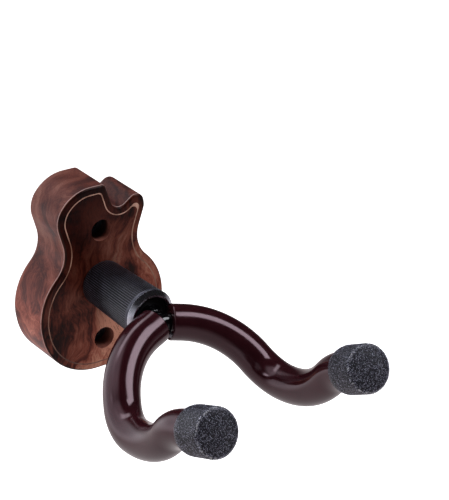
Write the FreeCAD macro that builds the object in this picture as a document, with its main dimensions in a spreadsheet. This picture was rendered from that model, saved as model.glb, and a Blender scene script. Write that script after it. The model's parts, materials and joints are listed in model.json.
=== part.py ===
"""Wall guitar hanger: a guitar-shaped wood block, a ribbed standoff hub and a padded yoke that turns in it.

Millimetres. X runs to the right, -Y forward from the wall, +Z up. The origin is the point of the wall face
that lies on the hub's axis. A "station" is a distance forward of the wall along that axis.
"""
import FreeCAD, Part
import math
import os

import Sketcher
from FreeCAD import Placement, Rotation, Vector

os.makedirs("parts", exist_ok=True)
doc = FreeCAD.newDocument("wall_guitar_hanger")

# ---------------------------------------------------------------- driving dimensions

SIZES = {
    # wood block
    "block_depth": 26.0,
    "edge_round": 1.4,
    "inlay_inset": 3.3,
    "inlay_width": 0.6,
    "inlay_corner": 2.2,
    "inlay_depth": 1.0,
    "back_pocket_radius": 13.0,
    "back_pocket_depth": 15.0,
    # wall screw holes, above and below the hub
    "screw_up": 27.0,
    "screw_down": -29.5,
    "head_bore_radius": 5.4,
    "head_bore_depth": 9.0,
    "shank_bore_radius": 2.7,
    "seat_radius": 5.3,
    "seat_thickness": 1.0,
    # standoff sleeve and collar
    "sleeve_length": 39.7,
    "sleeve_rear_radius": 11.1,
    "sleeve_front_radius": 12.2,
    "sleeve_bore_radius": 7.1,
    "band_length": 1.5,
    "mouth_radius": 10.4,
    "mouth_depth": 4.1,
    "collar_groove": 0.45,
    "collar_groove_radius": 11.7,
    "collar_land": 0.1,
    "collar_length": 2.5,
    "collar_radius": 12.35,
    "collar_lip_radius": 10.4,
    "collar_bore_radius": 9.6,
    # steel tube that clamps the sleeve to the block
    "tube_radius": 7.0,
    "tube_bore_radius": 5.5,
    "tube_tail": 8.0,
    "flange_radius": 9.3,
    "flange_thickness": 2.0,
    "clamp_washer_radius": 12.0,
    "clamp_washer_thickness": 1.5,
    "clamp_nut_radius": 11.5,
    "clamp_nut_thickness": 4.5,
    # bushes and stem
    "bush_length": 9.0,
    "bush_flange": 1.5,
    "stem_radius": 4.0,
    "running_gap": 0.05,
    "end_float": 0.1,
    "thrust_radius": 7.5,
    "thrust_thickness": 1.0,
    "shoulder_radius": 5.5,
    "shoulder_length": 1.0,
    "neck_radius": 3.9,
    "neck_setback": 1.0,
    "thread_radius": 3.0,
    "stem_tail": 0.6,
    "retainer_radius": 6.6,
    "retainer_thickness": 0.8,
    "lock_nut_radius": 5.6,
    "lock_nut_hex": 2.9,
    "lock_nut_crown": 1.5,
    "lock_nut_crown_radius": 4.5,
    "lock_insert_radius": 3.9,
    # yoke
    "rod_station": 74.4,
    "rod_radius": 4.0,
    "bead_radius": 4.8,
    "bead_length": 2.2,
    "bead_wrap": 0.6,
    "soft_radius": 8.5,
    "soft_bore_radius": 4.1,
    "left_soft_start": 3.6,
    "right_soft_start": 4.6,
    "cap_radius": 11.1,
    "cap_cup": 14.8,
    "cap_end": 5.0,
    "cap_end_round": 3.8,
    "cap_rear_round": 2.3,
}

# Corner points (across, up) of the guitar outline and the radius that rounds each one, anticlockwise.
# The lower bout and the waist are symmetric; the cutaway is right of the neck joint.
LOWER_BOUT = [(28.5, -45.0, 29.5), (36.0, -4.0, 30.0), (18.0, 15.0, 16.0)]
UPPER_BOUT = [
    (24.5, 33.5, 6.0),
    (23.0, 43.5, 4.5),
    (8.0, 33.0, 5.0),
    (3.0, 49.5, 2.6),
    (-13.5, 50.0, 19.0),
    (-24.5, 38.0, 13.0),
]

# Bends of both yoke arms, from the middle of the rod: out, forward of the rod station, up, bend radius.
ARM_BENDS = [
    (28.5, 9.7, -5.0, 44.0),
    (40.0, 31.8, -26.8, 21.0),
    (41.7, 60.4, -23.0, 44.0),
    (42.4, 76.4, -4.0, 26.0),
]
# The ends, also (out, forward, up), differ as hand-bent arms do: the left one reaches further forward.
ARM_ENDS = {"left": (41.3, 101.9, 5.6), "right": (41.7, 96.7, 6.4)}
ARM_SIDES = {"left": -1, "right": 1}
MIDDLE_BEND = 8.0

# Stations along the hub's axis, each a sum of named sizes; a leading "-" subtracts.
CLAMP_WASHER_REAR = "back_pocket_depth -clamp_washer_thickness"
FRONT_BUSH_REAR = "block_depth sleeve_length -mouth_depth flange_thickness"
FRONT_BUSH_FACE = FRONT_BUSH_REAR + " bush_flange"
THRUST_REAR = FRONT_BUSH_FACE + " end_float"
SHOULDER_REAR = THRUST_REAR + " thrust_thickness"
REAR_BUSH_FACE = "tube_tail -bush_flange"
RETAINER_FRONT = REAR_BUSH_FACE + " -end_float"
RETAINER_REAR = RETAINER_FRONT + " -retainer_thickness"

# A hexagon nut's corners are turned down to this share of its circumradius, then bevelled.
HEX_TURNED_SHARE = 0.985
HEX_BEVEL_HEIGHT = 0.5
HEX_BEVEL_REACH = 1.0

# Tolerances: lengths taken as equal, a swept bar's volume error as a share, the least a pocket removes.
SAME_LENGTH = 1e-4
SWEEP_ERROR = 0.001
LEAST_CUT = 1.0

sheet = doc.addObject("Spreadsheet::Sheet", "sizes")
for row, (alias, number) in enumerate(SIZES.items(), start=1):
    sheet.set("A%d" % row, alias)
    sheet.set("B%d" % row, str(number))
    sheet.setAlias("B%d" % row, alias)
doc.recompute()


def size(terms):
    """Sum of named sizes, such as "block_depth sleeve_length -mouth_depth"."""
    total = 0.0
    for term in terms.split():
        total += -sheet.get(term[1:]) if term.startswith("-") else sheet.get(term)
    return total


def formula(terms):
    """The same sum as an expression on the sheet."""
    signed = ["- sizes." + term[1:] if term.startswith("-") else "+ sizes." + term for term in terms.split()]
    return " ".join(signed).removeprefix("+ ")


# ---------------------------------------------------------------- helpers

NODES = []


def node(part):
    """Keep a finished piece; its Label is the node's name."""
    NODES.append(part)
    return part


def origin_plane(body, role):
    """One of a body's own origin planes, such as XZ_Plane."""
    return next(item for item in body.Origin.OriginFeatures if item.Role == role)


def sketch_on(body, role, name):
    """New sketch of a body, lying flat on one of its origin planes."""
    sketch = body.newObject("Sketcher::SketchObject", name)
    sketch.AttachmentSupport = (origin_plane(body, role), [""])
    sketch.MapMode = "FlatFace"
    return sketch


def bind_point(sketch, line, across, along):
    """Fix the start of a sketch line at (across, along), each a sum of named sizes, or "" on the axis."""
    for kind, terms, axis in (("DistanceX", across, -2), ("DistanceY", along, -1)):
        if terms == "":
            sketch.addConstraint(Sketcher.Constraint("PointOnObject", line, 1, axis))
            continue
        number = sketch.addConstraint(Sketcher.Constraint(kind, -1, 1, line, 1, size(terms)))
        sketch.setExpression("Constraints[%d]" % number, formula(terms))


def revolved(label, profile):
    """Body of revolution about its own Z axis; profile is (radius, height) pairs of named sums."""
    body = doc.addObject("PartDesign::Body", label)
    sketch = sketch_on(body, "XZ_Plane", label + "_profile")
    points = [Vector(size(radius), size(height), 0) for radius, height in profile]
    for start, end in zip(points, points[1:] + points[:1]):
        sketch.addGeometry(Part.LineSegment(start, end))
    count = len(points)
    for line in range(count):
        sketch.addConstraint(Sketcher.Constraint("Coincident", line, 2, (line + 1) % count, 1))
    for line, (radius, height) in enumerate(profile):
        bind_point(sketch, line, radius, height)
    turn = body.newObject("PartDesign::Revolution", label + "_turn")
    turn.Profile = sketch
    turn.ReferenceAxis = (sketch, ["V_Axis"])
    turn.Angle = 360
    doc.recompute()
    return body


def on_hub_axis(part, station="", up=None):
    """Turn a piece made about Z so that its Z points forward from the wall, and set it at a station."""
    part.Placement = Placement(Vector(0, 0, 0), Rotation(Vector(1, 0, 0), 90))
    if station:
        part.setExpression("Placement.Base.y", "-(" + formula(station) + ")")
    if up:
        part.setExpression("Placement.Base.z", formula(up))
    return part


def ring_edges(shape, radius, height):
    """Names of the circular edges of this radius at this height on the Z axis."""
    return [
        "Edge%d" % index
        for index, edge in enumerate(shape.Edges, start=1)
        if isinstance(edge.Curve, Part.Circle)
        and abs(edge.Curve.Radius - radius) < SAME_LENGTH
        and abs(edge.Curve.Center.z - height) < SAME_LENGTH
    ]


def soften(body, name, radius, height, fillet_radius):
    """Round one ring edge of a turned body."""
    before = body.Tip
    edges = ring_edges(before.Shape, size(radius), size(height))
    fillet = body.newObject("PartDesign::Fillet", name)
    fillet.Base = (before, edges)
    fillet.setExpression("Radius", formula(fillet_radius))
    doc.recompute()


# ---------------------------------------------------------------- guitar outline


def outline_corners():
    """The whole outline, anticlockwise from the lower right corner."""
    left = [(-across, up, radius) for across, up, radius in reversed(LOWER_BOUT)]
    return LOWER_BOUT + UPPER_BOUT + left


def corner_arc(before, corner, after, radius):
    """Tangent points and middle of the arc that rounds one corner of a path."""
    back = (before - corner).normalize()
    ahead = (after - corner).normalize()
    half = back.getAngle(ahead) / 2
    reach = radius / math.tan(half)
    bisector = (back + ahead).normalize()
    middle = corner + bisector * (radius / math.sin(half) - radius)
    return corner + back * reach, middle, corner + ahead * reach


def outline_wire():
    """The guitar outline as arcs joined by short tangent lines, in the plane z = 0."""
    corners = outline_corners()
    points = [Vector(across, up, 0) for across, up, _ in corners]
    arcs = [
        corner_arc(points[index - 1], points[index], points[(index + 1) % len(points)], corners[index][2])
        for index in range(len(points))
    ]
    edges = []
    for index, (start, middle, end) in enumerate(arcs):
        edges.append(Part.Arc(start, middle, end).toShape())
        edges.append(Part.LineSegment(end, arcs[(index + 1) % len(arcs)][0]).toShape())
    return Part.Wire(edges)


def draw_wire(sketch, wire):
    """Copy a wire of lines and arcs into a sketch, end to end."""
    first = sketch.GeometryCount
    for edge in wire.OrderedEdges:
        start = edge.firstVertex(True).Point
        end = edge.lastVertex(True).Point
        if isinstance(edge.Curve, Part.Circle):
            middle = edge.valueAt((edge.FirstParameter + edge.LastParameter) / 2)
            sketch.addGeometry(Part.Arc(start, middle, end))
        else:
            sketch.addGeometry(Part.LineSegment(start, end))
    for index in range(first, sketch.GeometryCount):
        sketch.addConstraint(Sketcher.Constraint("Block", index))


def inset_outline(distance):
    """The outline moved inwards by a constant distance, with its sharp corners rounded."""
    corner = size("inlay_corner")
    return outline_wire().makeOffset2D(-distance - corner).makeOffset2D(corner)


# ---------------------------------------------------------------- wood block and its trim


def bore_from(body, sketch, radius, up, depth, through=False, reverse=False):
    """Round pocket on the hub's centre line."""
    circle = Part.Circle(Vector(0, size(up) if up else 0, 0), Vector(0, 0, 1), size(radius))
    index = sketch.addGeometry(circle)
    rim = sketch.addConstraint(Sketcher.Constraint("Radius", index, size(radius)))
    sketch.setExpression("Constraints[%d]" % rim, formula(radius))
    sketch.addConstraint(Sketcher.Constraint("PointOnObject", index, 3, -2))
    if up:
        place = sketch.addConstraint(Sketcher.Constraint("DistanceY", -1, 1, index, 3, size(up)))
        sketch.setExpression("Constraints[%d]" % place, formula(up))
    else:
        sketch.addConstraint(Sketcher.Constraint("PointOnObject", index, 3, -1))
    volume = body.Shape.Volume
    pocket = body.newObject("PartDesign::Pocket", sketch.Name + "_pocket")
    pocket.Profile = sketch
    pocket.Reversed = reverse
    if through:
        pocket.Type = "ThroughAll"
    else:
        pocket.setExpression("Length", formula(depth))
    doc.recompute()
    if body.Shape.Volume > volume - LEAST_CUT:
        raise RuntimeError("pocket cut nothing: " + pocket.Name)


def front_sketch(body, name):
    """Sketch in the block's front face plane, seen from in front of the block."""
    sketch = sketch_on(body, "XZ_Plane", name)
    sketch.setExpression("AttachmentOffset.Base.z", "sizes.block_depth")
    return sketch


def make_block():
    """Slab in the guitar outline, with inlay groove, hub bore, back pocket and two screw holes."""
    body = doc.addObject("PartDesign::Body", "wood_block")
    outline = sketch_on(body, "XZ_Plane", "block_outline")
    draw_wire(outline, outline_wire())
    blank = body.newObject("PartDesign::Pad", "block_blank")
    blank.Profile = outline
    blank.setExpression("Length", "sizes.block_depth")
    doc.recompute()
    rim = [
        "Edge%d" % index
        for index, edge in enumerate(blank.Shape.Edges, start=1)
        if edge.BoundBox.YLength < SAME_LENGTH
    ]
    rounded = body.newObject("PartDesign::Fillet", "block_edges")
    rounded.Base = (blank, rim)
    rounded.setExpression("Radius", "sizes.edge_round")
    doc.recompute()

    groove = front_sketch(body, "inlay_groove_outline")
    draw_wire(groove, inset_outline(size("inlay_inset")))
    draw_wire(groove, inset_outline(size("inlay_inset inlay_width")))
    cut = body.newObject("PartDesign::Pocket", "inlay_groove")
    cut.Profile = groove
    cut.setExpression("Length", "sizes.inlay_depth")
    doc.recompute()

    bore_from(body, front_sketch(body, "hub_bore"), "sleeve_bore_radius", "", "", through=True)
    pocket = sketch_on(body, "XZ_Plane", "back_pocket")
    bore_from(body, pocket, "back_pocket_radius", "", "back_pocket_depth", reverse=True)
    for name, up in (("upper", "screw_up"), ("lower", "screw_down")):
        bore_from(body, front_sketch(body, name + "_head_bore"), "head_bore_radius", up, "head_bore_depth")
        shank = front_sketch(body, name + "_shank_bore")
        bore_from(body, shank, "shank_bore_radius", up, "", through=True)
    return node(body)


def make_inlay():
    """Pale strip let into the face, a constant distance inside the outline."""
    body = doc.addObject("PartDesign::Body", "border_inlay")
    strip = front_sketch(body, "inlay_outline")
    draw_wire(strip, inset_outline(size("inlay_inset")))
    draw_wire(strip, inset_outline(size("inlay_inset inlay_width")))
    pad = body.newObject("PartDesign::Pad", "inlay_strip")
    pad.Profile = strip
    pad.Reversed = True
    pad.setExpression("Length", "sizes.inlay_depth")
    doc.recompute()
    return node(body)


def make_screw_seat(label, up):
    """Steel washer on the floor of a counterbore, under the wall screw's head."""
    body = revolved(
        label,
        [
            ("shank_bore_radius", ""),
            ("seat_radius", ""),
            ("seat_radius", "seat_thickness"),
            ("shank_bore_radius", "seat_thickness"),
        ],
    )
    return node(on_hub_axis(body, "block_depth -head_bore_depth", up))


# ---------------------------------------------------------------- hub


def make_sleeve():
    """Tapered standoff with a plain band at the front and a mouth for the collar and the tube's flange."""
    body = revolved(
        "ribbed_sleeve",
        [
            ("sleeve_bore_radius", ""),
            ("sleeve_rear_radius", ""),
            ("sleeve_front_radius", "sleeve_length -band_length"),
            ("sleeve_front_radius", "sleeve_length"),
            ("mouth_radius", "sleeve_length"),
            ("mouth_radius", "sleeve_length -mouth_depth"),
            ("sleeve_bore_radius", "sleeve_length -mouth_depth"),
        ],
    )
    return node(on_hub_axis(body, "block_depth"))


def make_collar():
    """Polished ring with a bevelled nose and a spigot pressed into the sleeve's mouth."""
    body = revolved(
        "bevelled_collar",
        [
            ("collar_bore_radius", "-mouth_depth"),
            ("mouth_radius", "-mouth_depth"),
            ("mouth_radius", ""),
            ("collar_groove_radius", ""),
            ("collar_groove_radius", "collar_groove"),
            ("collar_radius", "collar_groove"),
            ("collar_radius", "collar_groove collar_land"),
            ("collar_lip_radius", "collar_length"),
            ("collar_bore_radius", "collar_length"),
        ],
    )
    return node(on_hub_axis(body, "block_depth sleeve_length"))


def make_hub_tube():
    """Flanged steel tube through sleeve and block; its tail takes the clamp nut."""
    flange_rear = "block_depth sleeve_length -mouth_depth"
    body = revolved(
        "hub_tube",
        [
            ("tube_bore_radius", "tube_tail"),
            ("tube_radius", "tube_tail"),
            ("tube_radius", flange_rear),
            ("flange_radius", flange_rear),
            ("flange_radius", flange_rear + " flange_thickness"),
            ("tube_bore_radius", flange_rear + " flange_thickness"),
        ],
    )
    return node(on_hub_axis(body))


def make_bush(label, station, forward):
    """Flanged plastic bush; its flange lies outside the tube's end."""
    side = "" if forward else "-"
    body = revolved(
        label,
        [
            ("stem_radius running_gap", side + "bush_flange"),
            ("flange_radius" if forward else "tube_radius", side + "bush_flange"),
            ("flange_radius" if forward else "tube_radius", ""),
            ("tube_bore_radius", ""),
            ("tube_bore_radius", "-bush_length" if forward else "bush_length"),
            ("stem_radius running_gap", "-bush_length" if forward else "bush_length"),
        ],
    )
    return node(on_hub_axis(body, station))


def make_washer(label, station, bore, rim, thickness):
    """Flat ring whose rear face is at this station."""
    body = revolved(label, [(bore, ""), (rim, ""), (rim, thickness), (bore, thickness)])
    return node(on_hub_axis(body, station))


def hex_blank(name, radius, thickness):
    """Hexagonal prism with its corners turned down at both ends, standing on z = 0."""
    prism = doc.addObject("Part::Prism", name + "_hex")
    prism.Polygon = 6
    prism.setExpression("Circumradius", formula(radius))
    prism.setExpression("Height", formula(thickness))
    turned = doc.addObject("Part::Cylinder", name + "_turning")
    turned.setExpression("Radius", "%s * %s" % (formula(radius), HEX_TURNED_SHARE))
    turned.setExpression("Height", formula(thickness))
    doc.recompute()
    bevel = doc.addObject("Part::Chamfer", name + "_bevel")
    bevel.Base = turned
    bevel.Edges = [
        (index, HEX_BEVEL_HEIGHT, HEX_BEVEL_REACH)
        for index, edge in enumerate(turned.Shape.Edges, start=1)
        if isinstance(edge.Curve, Part.Circle)
    ]
    blank = doc.addObject("Part::Common", name + "_blank")
    blank.Base = prism
    blank.Tool = bevel
    doc.recompute()
    return blank


def drilled(label, blank, radius, height):
    """Cut a round bore up the Z axis of a blank, from its base to this height."""
    drill = doc.addObject("Part::Cylinder", label + "_drill")
    drill.setExpression("Radius", formula(radius))
    drill.setExpression("Height", formula(height))
    cut = doc.addObject("Part::Cut", label)
    cut.Base = blank
    cut.Tool = drill
    doc.recompute()
    return cut


def make_clamp_nut():
    """Thin hexagon nut on the tail of the hub tube, behind the clamp washer."""
    blank = hex_blank("clamp_nut", "clamp_nut_radius", "clamp_nut_thickness")
    nut = drilled("clamp_nut", blank, "tube_radius", "clamp_nut_thickness")
    return node(on_hub_axis(nut, CLAMP_WASHER_REAR + " -clamp_nut_thickness"))


# ---------------------------------------------------------------- yoke


def rod_point(out, ahead, up):
    """Point given from the middle of the yoke rod: out to the right, ahead of the rod, up."""
    return Vector(out, -(size("rod_station") + ahead), up)


def bent_wire(points, radii):
    """Straight runs joined by tangent arcs."""
    edges = []
    run_start = points[0]
    for before, corner, after, radius in zip(points, points[1:], points[2:], radii):
        start, middle, end = corner_arc(before, corner, after, radius)
        edges.append(Part.LineSegment(run_start, start).toShape())
        edges.append(Part.Arc(start, middle, end).toShape())
        run_start = end
    edges.append(Part.LineSegment(run_start, points[-1]).toShape())
    return Part.Wire(edges)


def arm_points(side):
    """Corners of the left or right arm's centre line, from the middle of the rod outwards."""
    corners = [(0, 0, 0)] + [bend[:3] for bend in ARM_BENDS] + [ARM_ENDS[side]]
    return [rod_point(ARM_SIDES[side] * out, ahead, up) for out, ahead, up in corners]


def arm_radii():
    """Bend radius at each corner of one arm."""
    return [radius for _, _, _, radius in ARM_BENDS]


def swept(wire, radius):
    """Round bar of this radius along a wire; its volume must be section times length."""
    first = wire.OrderedEdges[0]
    along = first.tangentAt(first.FirstParameter)
    section = Part.Wire([Part.makeCircle(radius, first.valueAt(first.FirstParameter), along)])
    bar = wire.makePipeShell([section], True, True)
    expected = math.pi * radius**2 * wire.Length
    if abs(bar.Volume - expected) > SWEEP_ERROR * expected:
        raise RuntimeError("a swept bar has the wrong volume")
    return bar


def feature(label, shape):
    """Document object that holds a ready shape."""
    part = doc.addObject("Part::Feature", label)
    part.Shape = shape
    return part


def make_rod():
    """One round steel rod, bent in the middle and along both arms."""
    left = arm_points("left")
    right = arm_points("right")
    points = left[:0:-1] + right
    radii = arm_radii()[::-1] + [MIDDLE_BEND] + arm_radii()
    return node(feature("yoke_rod", swept(bent_wire(points, radii), size("rod_radius"))))


def make_soft_tube(side):
    """Padding of one arm: a thick soft tube over the rod, cut square at its inner end."""
    points = arm_points(side)
    along = (points[1] - points[0]).normalize()
    points[0] = points[0] + along * size(side + "_soft_start")
    wire = bent_wire(points, arm_radii())
    tube = swept(wire, size("soft_radius")).cut(swept(wire, size("soft_bore_radius")))
    return node(feature(side + "_arm_tube", tube))


def make_cap(side):
    """Rubber cup over the end of the arm, with a rounded closed end."""
    label = side + "_end_cap"
    body = revolved(
        label,
        [
            ("", ""),
            ("soft_radius", ""),
            ("soft_radius", "-cap_cup"),
            ("cap_radius", "-cap_cup"),
            ("cap_radius", "cap_end"),
            ("", "cap_end"),
        ],
    )
    soften(body, label + "_nose", "cap_radius", "cap_end", "cap_end_round")
    soften(body, label + "_heel", "cap_radius", "-cap_cup", "cap_rear_round")
    points = arm_points(side)
    along = (points[-1] - points[-2]).normalize()
    body.Placement = Placement(points[-1], Rotation(Vector(0, 0, 1), along))
    return node(body)


def make_stem(rod):
    """Turned pin: thread for the lock nut, journal in the bushes, thrust shoulder, neck welded to the rod."""
    turned = revolved(
        "stem_turning",
        [
            ("", "stem_tail"),
            ("thread_radius", "stem_tail"),
            ("thread_radius", RETAINER_FRONT),
            ("stem_radius", RETAINER_FRONT),
            ("stem_radius", SHOULDER_REAR),
            ("shoulder_radius", SHOULDER_REAR),
            ("shoulder_radius", SHOULDER_REAR + " shoulder_length"),
            ("neck_radius", SHOULDER_REAR + " shoulder_length"),
            ("neck_radius", "rod_station -neck_setback"),
            ("", "rod_station -neck_setback"),
        ],
    )
    on_hub_axis(turned)
    stem = doc.addObject("Part::Cut", "yoke_stem")
    stem.Base = turned
    stem.Tool = rod
    doc.recompute()
    return node(stem)


def make_weld(rod):
    """Weld bead round the neck where it meets the rod."""
    ring = revolved(
        "weld_ring",
        [
            ("neck_radius", "rod_station -rod_radius -bead_length"),
            ("bead_radius", "rod_station -rod_radius"),
            ("bead_radius", "rod_station -rod_radius bead_wrap"),
            ("neck_radius", "rod_station -rod_radius bead_wrap"),
        ],
    )
    on_hub_axis(ring)
    bead = doc.addObject("Part::Cut", "weld_bead")
    bead.Base = ring
    bead.Tool = rod
    doc.recompute()
    return node(bead)


def make_lock_nut():
    """Hexagon nut with a turned crown that holds a nylon ring; the crown faces the wall."""
    blank = hex_blank("lock_nut", "lock_nut_radius", "lock_nut_hex")
    crown = doc.addObject("Part::Cylinder", "lock_nut_crown_turning")
    crown.setExpression("Radius", "sizes.lock_nut_crown_radius")
    crown.setExpression("Height", "sizes.lock_nut_crown")
    crown.setExpression("Placement.Base.z", "-sizes.lock_nut_crown")
    whole = doc.addObject("Part::Fuse", "lock_nut_solid")
    whole.Base = blank
    whole.Tool = crown
    seat = doc.addObject("Part::Cylinder", "lock_nut_seat")
    seat.setExpression("Radius", "sizes.lock_insert_radius")
    seat.setExpression("Height", "sizes.lock_nut_crown")
    seat.setExpression("Placement.Base.z", "-sizes.lock_nut_crown")
    cup = doc.addObject("Part::Cut", "lock_nut_cup")
    cup.Base = whole
    cup.Tool = seat
    doc.recompute()
    nut = drilled("lock_nut", cup, "thread_radius", "lock_nut_hex")
    node(on_hub_axis(nut, RETAINER_REAR + " -lock_nut_hex"))
    rear = RETAINER_REAR + " -lock_nut_hex -lock_nut_crown"
    make_washer("lock_nut_insert", rear, "thread_radius", "lock_insert_radius", "lock_nut_crown")


# ---------------------------------------------------------------- assembly

make_block()
make_inlay()
make_screw_seat("upper_screw_seat", "screw_up")
make_screw_seat("lower_screw_seat", "screw_down")
make_sleeve()
make_collar()
make_hub_tube()
make_bush("front_bush", FRONT_BUSH_REAR, forward=True)
make_bush("rear_bush", "tube_tail", forward=False)
make_washer("clamp_washer", CLAMP_WASHER_REAR, "tube_radius", "clamp_washer_radius", "clamp_washer_thickness")
make_clamp_nut()

yoke_rod = make_rod()
make_stem(yoke_rod)
make_weld(yoke_rod)
make_washer("thrust_washer", THRUST_REAR, "stem_radius", "thrust_radius", "thrust_thickness")
make_washer("retaining_washer", RETAINER_REAR, "thread_radius", "retainer_radius", "retainer_thickness")
make_lock_nut()
for arm in ARM_SIDES:
    make_soft_tube(arm)
    make_cap(arm)

doc.recompute()
for item in doc.Objects:
    if "Invalid" in item.State or "Error" in item.State:
        raise RuntimeError("%s did not build: %s" % (item.Name, item.State))
for part in NODES:
    if part.Shape.isNull() or not part.Shape.isValid():
        raise RuntimeError("bad shape: " + part.Label)
    part.Shape.exportStep("parts/%s.step" % part.Label)
    box = part.Shape.BoundBox
    print(
        "%-18s %8.0f mm3  x %6.1f %6.1f  y %6.1f %6.1f  z %6.1f %6.1f"
        % (part.Label, part.Shape.Volume, box.XMin, box.XMax, box.YMin, box.YMax, box.ZMin, box.ZMax)
    )
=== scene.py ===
import json
import math

import bpy
from mathutils import Matrix, Vector, noise


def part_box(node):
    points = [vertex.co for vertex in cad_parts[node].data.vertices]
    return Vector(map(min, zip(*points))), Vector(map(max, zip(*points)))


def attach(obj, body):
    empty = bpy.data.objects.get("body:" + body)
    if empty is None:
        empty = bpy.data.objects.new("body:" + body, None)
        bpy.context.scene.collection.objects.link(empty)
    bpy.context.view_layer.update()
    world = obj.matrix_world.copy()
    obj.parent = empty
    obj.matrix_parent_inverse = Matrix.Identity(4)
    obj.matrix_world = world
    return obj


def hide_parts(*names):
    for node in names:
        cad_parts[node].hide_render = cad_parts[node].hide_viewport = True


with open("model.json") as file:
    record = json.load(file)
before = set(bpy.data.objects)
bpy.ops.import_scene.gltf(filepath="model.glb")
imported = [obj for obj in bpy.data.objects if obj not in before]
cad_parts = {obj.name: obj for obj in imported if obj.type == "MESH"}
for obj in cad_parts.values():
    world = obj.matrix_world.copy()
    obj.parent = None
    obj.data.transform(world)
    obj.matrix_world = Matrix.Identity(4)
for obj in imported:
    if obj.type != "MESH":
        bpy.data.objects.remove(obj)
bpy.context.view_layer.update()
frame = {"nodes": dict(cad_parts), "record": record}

MM = 0.001

# ---------------------------------------------------------------- sizes, in millimetres

SLEEVE_TAPER = 1.1
SLEEVE_BORE = 7.1
SLEEVE_BAND = 1.5
SLEEVE_MOUTH = 10.4
SLEEVE_MOUTH_DEPTH = 4.1
RIB_COUNT = 68
RIB_DEPTH = 0.34
RIB_START = 1.2
RIB_FADE = 9.0
RIB_STEP = 0.5
POINTS_PER_RIB = 8

# Bends of both arms' centre lines, from the middle of the rod: out, ahead of it, up, bend radius.
ARM_BENDS = [
    (28.5, 9.7, -5.0, 44.0),
    (40.0, 31.8, -26.8, 21.0),
    (41.7, 60.4, -23.0, 44.0),
    (42.4, 76.4, -4.0, 26.0),
]
ARM_ENDS = {"left": (41.3, 101.9, 5.6), "right": (41.7, 96.7, 6.4)}
ARM_SIDES = {"left": -1, "right": 1}
TUBE_RADIUS = 8.5
TUBE_BORE = 4.1
TUBE_STARTS = {"left": 3.6, "right": 4.6}
TUBE_LIP = 0.7
TUBE_STEP = 0.8
TUBE_AROUND = 128
TUBE_UNEVEN = 0.05

CAP_RADIUS = 11.1
CAP_CUP = 14.8
CAP_END = 5.0
CAP_NOSE = 2.7
CAP_DOME = 0.9
CAP_HEEL_RISE = 2.5
CAP_HEEL_RUN = 5.0
PEBBLE_SIZE = 0.54
PEBBLE_DEPTH = 0.22
CAP_STEP = 0.17
CAP_AROUND = 420
# How pale the caps are rubbed, and how much more on their shoulders, partly wear and partly painted glints.
CAP_RUB = 0.40
SHOULDER_RUB_AND_GLINT = 0.40

BEAD_RIPPLES = 13
BEAD_THICKNESS = 0.9
BEAD_AROUND = 260
BEAD_SECTION = 28

# What a mesh keeps at each point for its material: how far it stands proud, and how far it's rubbed and
# painted with highlights, 0 to 1.
SURFACE_HEIGHT = "raised"
SURFACE_RUB_AND_HIGHLIGHT = "rub_and_highlight"

# ---------------------------------------------------------------- shader building


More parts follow.
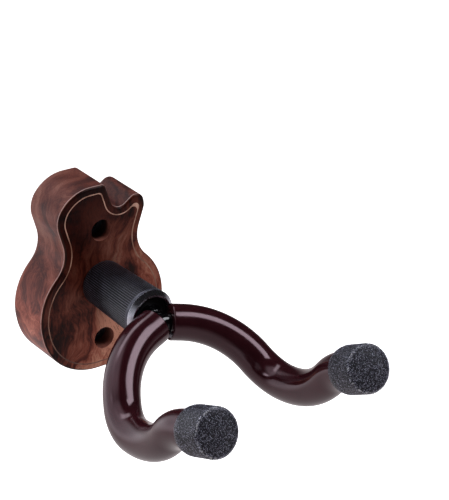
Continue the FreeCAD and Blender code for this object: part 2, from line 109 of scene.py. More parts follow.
class Look:
    """One procedural material. Its methods add nodes, and most of them return an output socket."""

    def __init__(self, name):
        self.material = bpy.data.materials.new(name)
        self.material.use_nodes = True
        self.nodes = self.material.node_tree.nodes
        self.links = self.material.node_tree.links
        self.surface = self.nodes["Principled BSDF"]
        where = self.nodes.new("ShaderNodeTexCoord")
        self.normal = where.outputs["Normal"]
        self.place = self.vector("MULTIPLY", where.outputs["Object"], (1 / MM, 1 / MM, 1 / MM))

    def put(self, socket, value):
        """Link a socket, or set its constant."""
        if isinstance(value, bpy.types.NodeSocket):
            self.links.new(value, socket)
        elif value is not None:
            socket.default_value = value

    def set(self, **values):
        """Constants or links of the Principled surface, by socket name with underscores."""
        for name, value in values.items():
            self.put(self.surface.inputs[name.replace("_", " ")], value)

    def math(self, operation, first, second=None):
        node = self.nodes.new("ShaderNodeMath")
        node.operation = operation
        self.put(node.inputs[0], first)
        self.put(node.inputs[1], second)
        return node.outputs[0]

    def times(self, first, second):
        return self.math("MULTIPLY", first, second)

    def distance(self, first, second):
        """Length of a vector with these two parts."""
        return self.math("SQRT", self.math("ADD", self.times(first, first), self.times(second, second)))

    def vector(self, operation, first, second):
        node = self.nodes.new("ShaderNodeVectorMath")
        node.operation = operation
        self.put(node.inputs[0], first)
        self.put(node.inputs[1], second)
        return node.outputs["Vector"]

    def split(self, vector):
        node = self.nodes.new("ShaderNodeSeparateXYZ")
        self.put(node.inputs[0], vector)
        return node.outputs

    def mapped(self, scale=(1, 1, 1), turn=(0, 0, 0), vector=None, shift=(0, 0, 0)):
        node = self.nodes.new("ShaderNodeMapping")
        self.put(node.inputs["Vector"], vector or self.place)
        self.put(node.inputs["Location"], shift)
        self.put(node.inputs["Rotation"], tuple(math.radians(angle) for angle in turn))
        self.put(node.inputs["Scale"], scale)
        return node.outputs[0]

    def noise(self, scale, detail=3.0, rough=0.5, vector=None, warp=0.0):
        node = self.nodes.new("ShaderNodeTexNoise")
        self.put(node.inputs["Vector"], vector or self.place)
        self.put(node.inputs["Scale"], scale)
        self.put(node.inputs["Detail"], detail)
        self.put(node.inputs["Roughness"], rough)
        self.put(node.inputs["Distortion"], warp)
        return node.outputs["Fac"]

    def joined(self, x, y, z=0.0):
        """A vector from separate parts."""
        node = self.nodes.new("ShaderNodeCombineXYZ")
        for socket, value in zip(node.inputs, (x, y, z)):
            self.put(socket, value)
        return node.outputs[0]

    def attribute(self, name):
        node = self.nodes.new("ShaderNodeAttribute")
        node.attribute_name = name
        return node.outputs["Fac"]

    def spread(self, value, low, high, to_low=0.0, to_high=1.0):
        """Smooth step from low..high to to_low..to_high."""
        node = self.nodes.new("ShaderNodeMapRange")
        node.interpolation_type = "SMOOTHSTEP"
        for socket, number in zip(node.inputs, (value, low, high, to_low, to_high)):
            self.put(socket, number)
        return node.outputs[0]

    def drifted(self, scale, reach, start=None):
        """The place, pushed about by a slow noise of this reach in millimetres."""
        node = self.nodes.new("ShaderNodeTexNoise")
        start = start or self.place
        self.put(node.inputs["Vector"], start)
        self.put(node.inputs["Scale"], scale)
        self.put(node.inputs["Detail"], 3.0)
        centred = self.vector("SUBTRACT", node.outputs["Color"], (0.5, 0.5, 0.5))
        return self.vector("ADD", start, self.vector("MULTIPLY", centred, (reach, reach, reach)))

    def ramp(self, value, stops):
        node = self.nodes.new("ShaderNodeValToRGB")
        self.put(node.inputs[0], value)
        elements = node.color_ramp.elements
        while len(elements) < len(stops):
            elements.new(0.5)
        for element, (position, colour) in zip(elements, stops):
            element.position = position
            element.color = (*colour, 1.0)
        return node.outputs[0]

    def tinted(self, colour, tint):
        """A colour multiplied by another."""
        return self.blend(1.0, colour, tint, "MULTIPLY")

    def blend(self, amount, first, second, mode="MIX"):
        node = self.nodes.new("ShaderNodeMix")
        node.data_type = "RGBA"
        node.blend_type = mode
        self.put(node.inputs["Factor"], amount)
        for index, value in ((6, first), (7, second)):
            self.put(node.inputs[index], (*value, 1.0) if isinstance(value, tuple) else value)
        return node.outputs[2]

    def bump(self, height, distance, strength=1.0):
        """Bump of this depth in millimetres."""
        node = self.nodes.new("ShaderNodeBump")
        self.put(node.inputs["Strength"], strength)
        self.put(node.inputs["Distance"], distance * MM)
        self.put(node.inputs["Height"], height)
        self.put(self.surface.inputs["Normal"], node.outputs[0])


# ---------------------------------------------------------------- materials

# The wood's grain direction in degrees, its colours, and the tints that these are multiplied by.
GRAIN_TURN = (34, -22, 0)
BURNT_AND_SHADE_DARK = (0.010, 0.003, 0.0025)
FACE_DARKEST = (0.15, 0.055, 0.04)
FACE_WARMEST = (1.2, 1.28, 1.32)
# Painted light on the side walls: their tint high up and low down.
SIDE_SHADED_HIGH = (0.56, 0.50, 0.51)
SIDE_LIT_LOW = (1.7, 1.65, 1.7)
SIDE_FADED = (0.42, 0.24, 0.225)
ARRIS_RUB_AND_HIGHLIGHT = (0.62, 0.44, 0.40)
BORE_MOUTH_PAINTED_LIGHT = (0.40, 0.17, 0.13)
ROSEWOOD = [
    (0.405, (0.020, 0.0035, 0.0024)),
    (0.450, (0.095, 0.019, 0.012)),
    (0.490, (0.225, 0.060, 0.036)),
    (0.530, (0.335, 0.115, 0.074)),
    (0.600, (0.500, 0.235, 0.160)),
]


def dark_wood():
    """Oiled rosewood: growth rings cut at a slant, near-black patches, fine fibre, burnt edges."""
    look = Look("dark_wood")
    drifted = look.drifted(0.026, 34.0)
    ripple = look.drifted(0.085, 9.0, drifted)
    x, y, z = look.split(look.mapped(turn=GRAIN_TURN, vector=ripple, shift=(34, 12, 0)))
    rings = look.joined(look.times(look.distance(x, y), 0.11), 0.0, look.times(z, 0.012))
    figure = look.noise(1.0, 5.0, 0.62, rings)
    cloud = look.noise(0.05, 3.0, 0.5, drifted, 0.5)
    fibre = look.noise(1.0, 4.0, 0.62, look.mapped((0.9, 0.9, 0.05), GRAIN_TURN, drifted))
    pores = look.noise(1.0, 2.0, 0.5, look.mapped((3.4, 3.4, 0.22), GRAIN_TURN, drifted))
    tone = look.math("ADD", look.times(figure, 0.55), look.times(fibre, 0.15))
    colour = look.ramp(look.math("ADD", tone, look.times(cloud, 0.30)), ROSEWOOD)

    # The front face runs from near black at the upper left to warmer low down.
    across, depth, up = look.split(look.place)
    facing = look.math("ABSOLUTE", look.split(look.normal)[1])
    front = look.spread(facing, 0.7, 0.98)
    slant = look.math("SUBTRACT", look.times(up, 0.8), look.times(across, 0.8))
    upper_left = look.spread(look.math("ADD", slant, look.times(figure, 50.0)), 8, 66)
    colour = look.blend(look.times(upper_left, front), colour, look.tinted(colour, FACE_DARKEST))
    lower = look.times(look.spread(up, -38, 8, 1.0, 0.0), front)
    colour = look.blend(lower, colour, look.tinted(colour, FACE_WARMEST))

    # The sides are more faded than the polished front, and their tint is painted light: darker high up, paler
    # low down.
    level = look.blend(look.spread(up, -36, 30, 1.0, 0.0), SIDE_SHADED_HIGH, SIDE_LIT_LOW)
    faded_with_painted_light = look.blend(0.15, look.tinted(colour, level), SIDE_FADED)
    colour = look.blend(look.spread(facing, 0.3, 0.6, 1.0, 0.0), colour, faded_with_painted_light)

    # The front arris is pale on its outer part, partly rubbed and partly a painted highlight, and burnt on
    # its inner part. The back is stained dark.
    rub_and_highlight = look.times(look.spread(facing, 0.04, 0.2), look.spread(facing, 0.3, 0.5, 1.0, 0.0))
    colour = look.blend(look.times(rub_and_highlight, 0.85), colour, ARRIS_RUB_AND_HIGHLIGHT)
    inner = look.times(look.spread(facing, 0.45, 0.65), look.spread(facing, 0.86, 0.998, 1.0, 0.0))
    colour = look.blend(look.times(inner, look.spread(across, -16, 14, 0.88, 0.5)), colour, BURNT_AND_SHADE_DARK)
    colour = look.blend(look.spread(depth, -1.5, -0.4, 0.0, 0.8), colour, BURNT_AND_SHADE_DARK)

    # The screw bores' walls are darkened as painted shade, with a paler ring round their mouths as painted
    # light.
    screws = next(mount for mount in frame["record"]["mounts"] if mount["name"] == "wall_screws")
    from_middle = look.math("ABSOLUTE", look.math("SUBTRACT", up, screws["pos_m"][2] / MM))
    from_hole = look.math("SUBTRACT", from_middle, screws["dims"]["spacing_y_mm"] / 2)
    bored = look.spread(look.distance(across, from_hole), 6.0, 6.6, 1.0, 0.0)
    shaded_bore_wall = look.times(bored, look.spread(facing, 0.3, 0.6, 1.0, 0.0))
    colour = look.blend(look.times(shaded_bore_wall, 0.75), colour, BURNT_AND_SHADE_DARK)
    mouth = look.spread(depth, -24.5, -21.0, 1.0, 0.0)
    colour = look.blend(look.times(shaded_bore_wall, mouth), colour, BORE_MOUTH_PAINTED_LIGHT)

    pore = look.spread(pores, 0.60, 0.68)
    look.set(Base_Color=look.blend(look.times(pore, 0.55), colour, BURNT_AND_SHADE_DARK))
    look.set(Roughness=look.spread(fibre, 0.3, 0.7, 0.3, 0.42))
    look.set(Coat_Weight=0.04, Coat_Roughness=0.2, Specular_IOR_Level=0.16)
    look.bump(look.math("SUBTRACT", look.times(fibre, 0.5), pore), 0.05, 0.5)
    return look.material


def pale_inlay():
    """Maple strip, tan and streaked, browner low down."""
    look = Look("pale_inlay")
    streak = look.noise(1.0, 3.0, 0.6, look.mapped((0.3, 0.3, 0.1)))
    up = look.split(look.place)[2]
    level = look.math("ADD", streak, look.times(up, 0.0055))
    stops = [(0.2, (0.12, 0.050, 0.033)), (0.55, (0.36, 0.19, 0.13)), (0.85, (0.76, 0.47, 0.36))]
    look.set(Base_Color=look.ramp(level, stops))
    look.set(Roughness=look.spread(streak, 0.3, 0.7, 0.3, 0.45), Specular_IOR_Level=0.5)
    look.bump(look.noise(2.5, 2.0), 0.02, 0.4)
    return look.material


def metal(name, colour, roughness):
    """Turned metal: fine rings about the hub's axis, a little mottling in gloss and tone."""
    look = Look(name)
    x, y, z = look.split(look.place)
    ring_scale = 9.0
    turned = look.joined(look.times(look.distance(x, z), ring_scale), look.times(y, ring_scale))
    rings = look.noise(1.0, 3.0, 0.7, turned)
    mottle = look.noise(0.9, 4.0, 0.6)
    dark = tuple(part * 0.7 for part in colour)
    look.set(Base_Color=look.ramp(mottle, [(0.3, dark), (0.7, colour)]), Metallic=1.0)
    uneven = look.math("ADD", rings, mottle)
    look.set(Roughness=look.spread(uneven, 0.7, 1.3, roughness * 0.8, roughness * 1.25))
    look.bump(rings, 0.012, 0.6)
    return look.material


def plastic(name, dark, light, roughness, grain=2.2, depth=0.01, coat=0.0, coat_roughness=0.1):
    """Moulded plastic or paint: cloudy tone, uneven gloss, fine grain."""
    look = Look(name)
    cloud = look.noise(0.12, 3.0, 0.55)
    fine = look.noise(grain, 3.0, 0.6)
    look.set(Base_Color=look.ramp(cloud, [(0.3, dark), (0.7, light)]))
    look.set(Roughness=look.spread(fine, 0.3, 0.7, roughness * 0.85, roughness * 1.2))
    look.set(Coat_Weight=coat, Coat_Roughness=coat_roughness)
    look.bump(fine, depth, 0.5)
    return look.material


def plum_vinyl():
    """Glossy soft vinyl, dark plum, with a faintly pink sheen in its highlights."""
    look = Look("plum_pvc")
    cloud = look.noise(0.12, 3.0, 0.55)
    fine = look.noise(0.35, 3.0, 0.6)
    stops = [(0.3, (0.042, 0.0088, 0.0130)), (0.7, (0.055, 0.0128, 0.0178))]
    look.set(Base_Color=look.ramp(cloud, stops))
    look.set(Roughness=look.spread(fine, 0.3, 0.7, 0.13, 0.18), Specular_Tint=(1.0, 0.76, 0.84, 1.0))
    look.set(Specular_IOR_Level=0.62, Coat_Weight=0.12, Coat_Roughness=0.08)
    look.bump(fine, 0.02, 0.5)
    return look.material


def pebbled_rubber():
    """Black rubber with pebbles: tops greyer and shinier than the gaps, and paler shoulders with near-white
    specks, each partly wear and partly painted glints.
    """
    look = Look("pebbled_rubber")
    height = look.attribute(SURFACE_HEIGHT)
    fine = look.noise(2.4, 3.0, 0.6)
    # Pebble tops are painted pale grey, partly wear and partly painted glints.
    wear_and_glint = look.times(look.spread(height, 0.30, 0.95), look.spread(fine, 0.34, 0.58))
    grey = look.ramp(wear_and_glint, [(0.0, (0.012, 0.012, 0.018)), (1.0, (0.40, 0.405, 0.50))])
    rub_and_highlight = look.attribute(SURFACE_RUB_AND_HIGHLIGHT)
    colour = look.tinted(grey, look.blend(rub_and_highlight, (0.22, 0.22, 0.24), (2.6, 2.6, 2.6)))
    # Near-white specks on the shoulders: partly scuffs, partly painted glints.
    speckle = look.spread(look.noise(1.25, 2.0, 0.5), 0.48, 0.62)
    scuffs_and_glints = look.times(look.spread(rub_and_highlight, 0.55, 1.0), speckle)
    look.set(Base_Color=look.blend(scuffs_and_glints, colour, (0.90, 0.91, 0.95)))
    look.set(Roughness=look.spread(wear_and_glint, 0.0, 1.0, 0.5, 0.2), Specular_IOR_Level=0.35)
    look.set(Coat_Weight=0.25, Coat_Roughness=0.12)
    look.bump(fine, 0.09, 0.7)
    return look.material


def bevelled_ring():
    """Satin chrome, faintly mottled."""
    look = Look("polished_collar")
    mottle = look.noise(0.9, 4.0, 0.6)
    stops = [(0.3, (0.55, 0.56, 0.62)), (0.7, (0.68, 0.69, 0.76))]
    look.set(Base_Color=look.ramp(mottle, stops), Metallic=1.0)
    look.set(Roughness=look.spread(mottle, 0.3, 0.7, 0.22, 0.30))
    look.bump(mottle, 0.001, 0.5)
    return look.material


def sleeve_finish():
    """Blackened, faintly blue metal, with painted shade darkening the grooves; the turning shows as fine
    rings across the ribs.
    """
    look = Look("charcoal_sleeve")
    rings = look.noise(1.0, 2.0, 0.6, look.mapped((0.05, 2.6, 0.05)))
    cloud = look.noise(0.2, 4.0, 0.6)
    crest = look.ramp(cloud, [(0.3, (0.052, 0.053, 0.069)), (0.7, (0.112, 0.112, 0.146))])
    height = look.attribute(SURFACE_HEIGHT)
    # The grooves between the ribs are darkened as painted shade.
    groove = look.tinted(crest, (0.05, 0.05, 0.06))
    look.set(Base_Color=look.blend(look.spread(height, 0.72, 1.0), groove, crest))
    look.set(Metallic=0.2, Roughness=look.spread(cloud, 0.3, 0.7, 0.28, 0.4), Specular_IOR_Level=0.4)
    look.set(Coat_Weight=0.3, Coat_Roughness=0.1)
    look.bump(rings, 0.04, 0.5)
    return look.material


MATERIALS = {
    "dark_wood": dark_wood(),
    "pale_inlay": pale_inlay(),
    "blackened_steel": metal("blackened_steel", (0.20, 0.24, 0.30), 0.35),
    "charcoal_sleeve": sleeve_finish(),
    "polished_collar": bevelled_ring(),
    "plain_steel": metal("plain_steel", (0.56, 0.56, 0.57), 0.3),
    "black_acetal": plastic("black_acetal", (0.006, 0.006, 0.007), (0.014, 0.014, 0.016), 0.4),
    "nylon": plastic("nylon", (0.52, 0.50, 0.44), (0.68, 0.66, 0.60), 0.45),
    "black_rod": plastic(
        "black_rod", (0.003, 0.003, 0.004), (0.007, 0.007, 0.009), 0.14,
        grain=0.8, depth=0.02, coat=0.6, coat_roughness=0.06,
    ),
    "plum_pvc": plum_vinyl(),
    "pebbled_rubber": pebbled_rubber(),
}

# ---------------------------------------------------------------- mesh building


def add_piece(name, points, faces, slot, body, *stands_for):
    """A smooth-shaded mesh piece with its material, riding on a body in place of CAD nodes."""
    mesh = bpy.data.meshes.new(name)
    mesh.from_pydata(points, [], faces)
    mesh.polygons.foreach_set("use_smooth", [True] * len(mesh.polygons))
    mesh.materials.append(MATERIALS[slot])
    mesh.update()
    piece = bpy.data.objects.new(name, mesh)
    bpy.context.scene.collection.objects.link(piece)
    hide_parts(*stands_for)
    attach(piece, body)
    return piece


def keep_at_points(piece, name, values):
    piece.data.attributes.new(name, "FLOAT", "POINT").data.foreach_set("value", values)


def ring_faces(rows, around, closed=False):
    """Quads between successive rings of points; closed joins the last ring to the first."""
    faces = []
    for row in range(rows if closed else rows - 1):
        here, there = row * around, (row + 1) % rows * around
        for index in range(around):
            after = (index + 1) % around
            faces.append((here + index, here + after, there + after, there + index))
    return faces


def spaced(start, end, step):
    """Evenly spaced numbers from start to end, both included."""
    count = max(1, math.ceil(abs(end - start) / step))
    return [start + (end - start) * index / count for index in range(count + 1)]


def round_corner(centre, radii, start, end, count):
    """Points on a quarter of an ellipse, angles in degrees."""
    points = []
    for index in range(count + 1):
        angle = math.radians(start + (end - start) * index / count)
        points.append((centre[0] + radii[0] * math.cos(angle), centre[1] + radii[1] * math.sin(angle)))
    return points


# ---------------------------------------------------------------- ribbed sleeve


def make_sleeve():
    """Tapered standoff with fine ribs along it that fade out towards the wall, and a plain front band."""
    low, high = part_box("ribbed_sleeve")
    front, length = low.y / MM, (high.y - low.y) / MM
    front_radius = (high.x - low.x) / 2 / MM
    band_start = length - SLEEVE_BAND

    def outside(along):
        return front_radius - SLEEVE_TAPER * max(0.0, 1 - along / band_start)

    rows = [(SLEEVE_BORE, 0.0, 0.0), (outside(0) - 0.3, 0.0, 0.0), (outside(0), 0.3, 0.0)]
    for along in spaced(RIB_START, band_start, RIB_STEP):
        fade = min(1.0, 0.35 + (along - RIB_START) / RIB_FADE) * min(1.0, (band_start - along) / RIB_STEP)
        rows.append((outside(along), along, max(0.0, fade)))
    rows += [(front_radius, band_start + 0.1, 0.0), (front_radius, length - 0.2, 0.0)]
    rows += [(front_radius - 0.2, length, 0.0), (SLEEVE_MOUTH, length, 0.0)]
    mouth_floor = length - SLEEVE_MOUTH_DEPTH
    rows += [(SLEEVE_MOUTH, mouth_floor, 0.0), (SLEEVE_BORE, mouth_floor, 0.0)]
    around = RIB_COUNT * POINTS_PER_RIB
    points, heights = [], []
    for radius, along, ribbed in rows:
        for index in range(around):
            turn = 2 * math.pi * index / around
            groove = (0.5 - 0.5 * math.cos(RIB_COUNT * turn)) ** 2
            reach = (radius - RIB_DEPTH * ribbed * groove) * MM
            points.append((reach * math.cos(turn), (front + length - along) * MM, reach * math.sin(turn)))
            heights.append(1.0 - ribbed * groove)
    piece = add_piece(
        "sleeve_with_ribs", points, ring_faces(len(rows), around, closed=True),
        "charcoal_sleeve", "wall_bracket", "ribbed_sleeve",
    )
    keep_at_points(piece, SURFACE_HEIGHT, heights)


# ---------------------------------------------------------------- yoke arms


def arm_corners(side):
    """Corners of the left or right arm's centre line in millimetres, from the middle of the rod."""
    rod_middle = Vector(frame["record"]["behaviour"]["joints"][0]["pos_m"]) / MM
    places = [(0.0, 0.0, 0.0)] + [bend[:3] for bend in ARM_BENDS] + [ARM_ENDS[side]]
    return [rod_middle + Vector((ARM_SIDES[side] * out, -ahead, up)) for out, ahead, up in places]


def bent_line(corners, radii, step):
    """Points along straight runs joined by tangent arcs."""
    line = [corners[0]]
    for before, corner, after, radius in zip(corners, corners[1:], corners[2:], radii):
        back = (before - corner).normalized()
        ahead = (after - corner).normalized()
        half = back.angle(ahead) / 2
        centre = corner + (back + ahead).normalized() * (radius / math.sin(half))
        start = corner + back * (radius / math.tan(half)) - centre
        sweep = math.pi - 2 * half
        axis = back.cross(ahead).normalized() * -1
        line += straight(line[-1], centre + start, step)
        count = math.ceil(radius * sweep / step)
        for index in range(1, count + 1):
            line.append(centre + Matrix.Rotation(sweep * index / count, 3, axis) @ start)
    return line + straight(line[-1], corners[-1], step)


def straight(start, end, step):
    """Points after start, up to end."""
    count = max(1, math.ceil((end - start).length / step))
    return [start.lerp(end, index / count) for index in range(1, count + 1)]


def frames_along(line):
    """A point, a tangent and two cross directions at each point of a line, turned as little as possible."""
    tangents = []
    for index in range(len(line)):
        tangents.append((line[min(index + 1, len(line) - 1)] - line[max(index - 1, 0)]).normalized())
    across = tangents[0].cross(Vector((0, 0, 1))).normalized()
    frames = []
    for place, tangent in zip(line, tangents):
        across = (across - tangent * across.dot(tangent)).normalized()
        frames.append((place, tangent, across, tangent.cross(across)))
    return frames


def make_tube(side):
    """Thick soft tube over an arm: cut square with a softened lip, its skin very slightly uneven."""
    corners = arm_corners(side)
    corners[0] = corners[0] + (corners[1] - corners[0]).normalized() * TUBE_STARTS[side]
    frames = frames_along(bent_line(corners, [bend[3] for bend in ARM_BENDS], TUBE_STEP))
    rows = [(0, 0.5, TUBE_BORE), (0, 0.15, TUBE_BORE + 0.25), (0, 0.0, TUBE_BORE + 0.7)]
    rows += [(0, 0.0, TUBE_RADIUS - TUBE_LIP)]
    lip_centre = (TUBE_RADIUS - TUBE_LIP, TUBE_LIP)
    for radius, ahead in round_corner(lip_centre, (TUBE_LIP, TUBE_LIP), -90, 0, 6)[1:]:
        rows.append((0, ahead, radius))
    rows += [(index, 0.0, TUBE_RADIUS) for index in range(2, len(frames))]
    rows += [(len(frames) - 1, 0.0, TUBE_BORE)]
    points = []
    for index, ahead, radius in rows:
        place, tangent, across, up = frames[index]
        for step in range(TUBE_AROUND):
            turn = 2 * math.pi * step / TUBE_AROUND
            out = across * math.cos(turn) + up * math.sin(turn)
            at = place + tangent * ahead + out * radius
            if radius == TUBE_RADIUS:
                at += out * (TUBE_UNEVEN * (noise.noise(at * 0.07) - 0.5))
            points.append(at * MM)
    faces = ring_faces(len(rows), TUBE_AROUND)
    piece = add_piece(side + "_soft_tube", points, faces, "plum_pvc", "yoke", side + "_arm_tube")


def pebble(at):
    """Height of the moulded pebble texture at a point in millimetres, 0 to 1."""
    near = noise.voronoi(at / PEBBLE_SIZE)[0]
    size = 0.85 + 0.5 * noise.noise(at / (1.7 * PEBBLE_SIZE))
    return max(0.0, min(1.0, (near[1] - near[0]) * 2.2 * size))


def make_cap(side):
    """Pebbled rubber cap: soft tapered heel, straight wall, rounded nose and a slightly domed end."""
    corners = arm_corners(side)
    axis = (corners[-1] - corners[-2]).normalized()
    across = axis.cross(Vector((0, 0, 1))).normalized()
    up = axis.cross(across)
    heel_centre = (CAP_RADIUS - CAP_HEEL_RISE, -CAP_CUP + CAP_HEEL_RUN)
    profile = [(TUBE_RADIUS - 0.1, -CAP_CUP + 0.4), (TUBE_RADIUS + 0.05, -CAP_CUP)]
    profile += round_corner(heel_centre, (CAP_HEEL_RISE, CAP_HEEL_RUN), -90, 0, 26)
    wall = spaced(-CAP_CUP + CAP_HEEL_RUN, CAP_END - CAP_NOSE, CAP_STEP)
    profile += [(CAP_RADIUS, along) for along in wall[1:]]
    flat = CAP_RADIUS - CAP_NOSE
    nose_centre = (flat, CAP_END - CAP_NOSE)
    profile += round_corner(nose_centre, (CAP_NOSE, CAP_NOSE - CAP_DOME), 0, 90, 34)[1:]
    for radius in spaced(flat, 0.15, CAP_STEP)[1:]:
        rise = CAP_DOME * (1 - (radius / flat) ** 2)
        profile.append((radius, CAP_END - CAP_DOME + rise))
    points, heights, rub_and_highlight = [], [], []
    for row, (radius, along) in enumerate(profile):
        nearby = profile[min(row + 1, len(profile) - 1)], profile[max(row - 1, 0)]
        slope = Vector((nearby[0][1] - nearby[1][1], nearby[1][0] - nearby[0][0])).normalized()
        # The shoulders are rubbed paler all round, partly wear and partly painted glints.
        shoulder = max(0.0, 2 * slope.x * slope.y)
        rub_and_highlight += [CAP_RUB + SHOULDER_RUB_AND_GLINT * shoulder ** 2] * CAP_AROUND
        for step in range(CAP_AROUND):
            turn = 2 * math.pi * step / CAP_AROUND
            out = across * math.cos(turn) + up * math.sin(turn)
            at = corners[-1] + axis * along + out * radius
            height = pebble(at) if row > 3 else 0.0
            heights.append(height)
            sunk = (height - 1.0) * PEBBLE_DEPTH
            points.append((at + (out * slope.x + axis * slope.y) * sunk) * MM)
    faces = ring_faces(len(profile), CAP_AROUND)
    last = (len(profile) - 1) * CAP_AROUND
    faces.append(tuple(range(last, last + CAP_AROUND)))
    piece = add_piece(side + "_pebbled_cap", points, faces, "pebbled_rubber", "yoke", side + "_end_cap")
    keep_at_points(piece, SURFACE_HEIGHT, heights)
    keep_at_points(piece, SURFACE_RUB_AND_HIGHLIGHT, rub_and_highlight)


def make_bead():
    """Weld bead round the stem's neck: overlapping ripples of uneven height."""
    low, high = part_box("weld_bead")
    outer = (high.x - low.x) / 2 / MM
    rear, front = high.y / MM, low.y / MM
    middle, half = (rear + front) / 2, (rear - front) / 2
    neck = outer - BEAD_THICKNESS
    points = []
    for step in range(BEAD_AROUND):
        turn = 2 * math.pi * step / BEAD_AROUND
        lap = (BEAD_RIPPLES * turn / (2 * math.pi)) % 1.0
        swell = 0.62 + 0.38 * math.sin(math.pi * lap) ** 0.5
        swell *= 0.9 + 0.2 * noise.noise(Vector((math.cos(turn), math.sin(turn), 0.3)) * 2.1)
        for index in range(BEAD_SECTION):
            angle = 2 * math.pi * index / BEAD_SECTION
            radius = neck + (outer - neck) * swell * math.cos(angle)
            along = middle + half * (0.85 + 0.15 * swell) * math.sin(angle)
            points.append((radius * MM * math.cos(turn), along * MM, radius * MM * math.sin(turn)))
    faces = ring_faces(BEAD_AROUND, BEAD_SECTION, closed=True)
    add_piece("weld_bead_rippled", points, faces, "black_rod", "yoke", "weld_bead")


make_sleeve()
for arm in ARM_SIDES:
    make_tube(arm)
    make_cap(arm)
make_bead()

for part in frame["record"]["subparts"]:
    piece = frame["nodes"][part["node"]]
    for place in piece.material_slots:
        place.material = MATERIALS[part["material_slot"]]

# ---------------------------------------------------------------- stage, light and camera

OBJECT_MIDDLE = Vector((0.0, -0.09, 0.0))
FLOOR_HEIGHT = -0.5
FLOOR_REACH = 12.0
FLOOR_PAINT = (0.9, 0.9, 0.9, 1.0)
SOFTBOX_COLOUR = (0.94, 0.95, 1.0)
WORLD_COLOUR = (1.0, 0.93, 0.94, 1.0)
WORLD_ABOVE = 0.02
WORLD_BELOW = 0.68
CAMERA_PLACE = Vector((-0.4838, -0.8174, 0.4697))
CAMERA_AIM = Vector((0.0465, -0.0592, 0.0171))
CAMERA_LENS = 159.2
CAMERA_SENSOR = 36.0


def floor_paint():
    """Pale paint that glows, so that no shading shows on the floor."""
    material = bpy.data.materials.new("floor_paint")
    material.use_nodes = True
    surface = material.node_tree.nodes["Principled BSDF"]
    surface.inputs["Base Color"].default_value = FLOOR_PAINT
    surface.inputs["Roughness"].default_value = 0.9
    surface.inputs["Emission Color"].default_value = (1.0, 1.0, 1.0, 1.0)
    surface.inputs["Emission Strength"].default_value = 1.0
    return material


def add_floor(height, reach):
    mesh = bpy.data.meshes.new("floor")
    corners = [(-reach, -reach), (reach, -reach), (reach, reach), (-reach, reach)]
    mesh.from_pydata([(x, y, height) for x, y in corners], [], [(0, 1, 2, 3)])
    mesh.materials.append(floor_paint())
    floor = bpy.data.objects.new("floor", mesh)
    bpy.context.scene.collection.objects.link(floor)
    floor.visible_diffuse = floor.visible_glossy = False


def add_softbox(name, azimuth, elevation, distance, width, height, radiance, soft=0.3):
    """Rectangular light aimed at the object, dimmer towards its edges; azimuth runs from front to right."""
    turn, lift = math.radians(azimuth), math.radians(elevation)
    toward = Vector((math.sin(turn) * math.cos(lift), -math.cos(turn) * math.cos(lift), math.sin(lift)))
    lamp = bpy.data.lights.new(name, "AREA")
    lamp.shape = "RECTANGLE"
    lamp.size, lamp.size_y = width, height
    lamp.energy = math.pi * width * height
    lamp.color = SOFTBOX_COLOUR
    lamp.use_nodes = True
    nodes, links = lamp.node_tree.nodes, lamp.node_tree.links
    across = nodes.new("ShaderNodeSeparateXYZ")
    links.new(nodes.new("ShaderNodeNewGeometry").outputs["Parametric"], across.inputs[0])
    level = None
    for axis in (0, 1):
        for near, far in ((0.0, soft), (1.0, 1.0 - soft)):
            edge = nodes.new("ShaderNodeMapRange")
            edge.interpolation_type = "SMOOTHSTEP"
            edge.inputs["From Min"].default_value, edge.inputs["From Max"].default_value = near, far
            links.new(across.outputs[axis], edge.inputs["Value"])
            product = nodes.new("ShaderNodeMath")
            product.operation = "MULTIPLY"
            product.inputs[1].default_value = radiance
            links.new(edge.outputs[0], product.inputs[0])
            if level:
                links.new(level, product.inputs[1])
            level = product.outputs[0]
    links.new(level, nodes["Emission"].inputs["Strength"])
    light = bpy.data.objects.new(name, lamp)
    light.location = OBJECT_MIDDLE + toward * distance
    light.rotation_euler = (-toward).to_track_quat("-Z", "Y").to_euler()
    light.visible_camera = False
    bpy.context.scene.collection.objects.link(light)
    return light


def flag_off(light, *shaded):
    """Keep a light off some pieces, as a card held in front of it does."""
    kept_dark = bpy.data.collections.new("flagged_from_" + light.name)
    for piece in shaded:
        kept_dark.objects.link(piece)
    for entry in kept_dark.collection_objects:
        entry.light_linking.link_state = "EXCLUDE"
    light.light_linking.receiver_collection = kept_dark


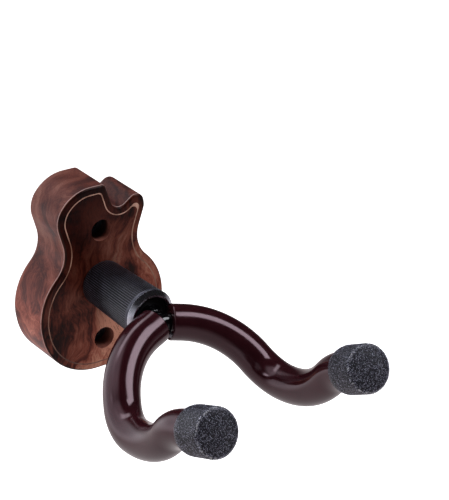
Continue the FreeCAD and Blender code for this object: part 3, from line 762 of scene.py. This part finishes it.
def add_surroundings(above, below):
    """World light: dim above the horizon, pale below it, and white where the camera sees past the floor."""
    world = bpy.data.worlds.new("studio")
    world.use_nodes = True
    nodes, links = world.node_tree.nodes, world.node_tree.links
    direction = nodes.new("ShaderNodeTexCoord")
    parts = nodes.new("ShaderNodeSeparateXYZ")
    links.new(direction.outputs["Generated"], parts.inputs[0])
    lit = nodes.new("ShaderNodeMapRange")
    for name, value in (("From Min", -0.35), ("From Max", 0.1), ("To Min", below), ("To Max", above)):
        lit.inputs[name].default_value = value
    links.new(parts.outputs[2], lit.inputs["Value"])
    path = nodes.new("ShaderNodeLightPath")
    level = nodes.new("ShaderNodeMix")
    level.inputs[3].default_value = 1.0
    links.new(path.outputs["Is Camera Ray"], level.inputs[0])
    links.new(lit.outputs[0], level.inputs[2])
    links.new(level.outputs[0], nodes["Background"].inputs["Strength"])
    nodes["Background"].inputs["Color"].default_value = WORLD_COLOUR
    bpy.context.scene.world = world


def add_camera():
    lens = bpy.data.cameras.new("camera")
    lens.lens = CAMERA_LENS
    lens.sensor_width = CAMERA_SENSOR
    lens.clip_start, lens.clip_end = 0.01, 50.0
    camera = bpy.data.objects.new("camera", lens)
    camera.location = CAMERA_PLACE
    camera.rotation_euler = (CAMERA_AIM - CAMERA_PLACE).to_track_quat("-Z", "Y").to_euler()
    bpy.context.scene.collection.objects.link(camera)
    bpy.context.scene.camera = camera


add_floor(FLOOR_HEIGHT, FLOOR_REACH)
# Azimuth and elevation in degrees, distance, width, height, radiance, and how much of each side is soft edge.
key = add_softbox("softbox_front_right", 52, 47, 1.0, 0.56, 0.80, 4.6, 0.14)
flag_off(key, frame["nodes"]["bevelled_collar"])
add_softbox("softbox_rear_top", 178, 52, 1.0, 1.0, 0.40, 2.6)
add_softbox("softbox_rear_left", -146, 13, 0.9, 1.5, 1.4, 1.05)
add_softbox("softbox_high_left", -128, 56, 0.9, 1.2, 0.9, 1.05, 0.35)
add_softbox("softbox_front_left", -62, 6, 0.9, 0.7, 1.3, 0.42)
add_softbox("lamp_left", -106, 20, 0.85, 0.46, 0.42, 4.8, 0.5)
add_surroundings(WORLD_ABOVE, WORLD_BELOW)
add_camera()
bpy.context.scene.view_settings.view_transform = "Standard"
bpy.context.scene.view_settings.look = "Medium High Contrast"
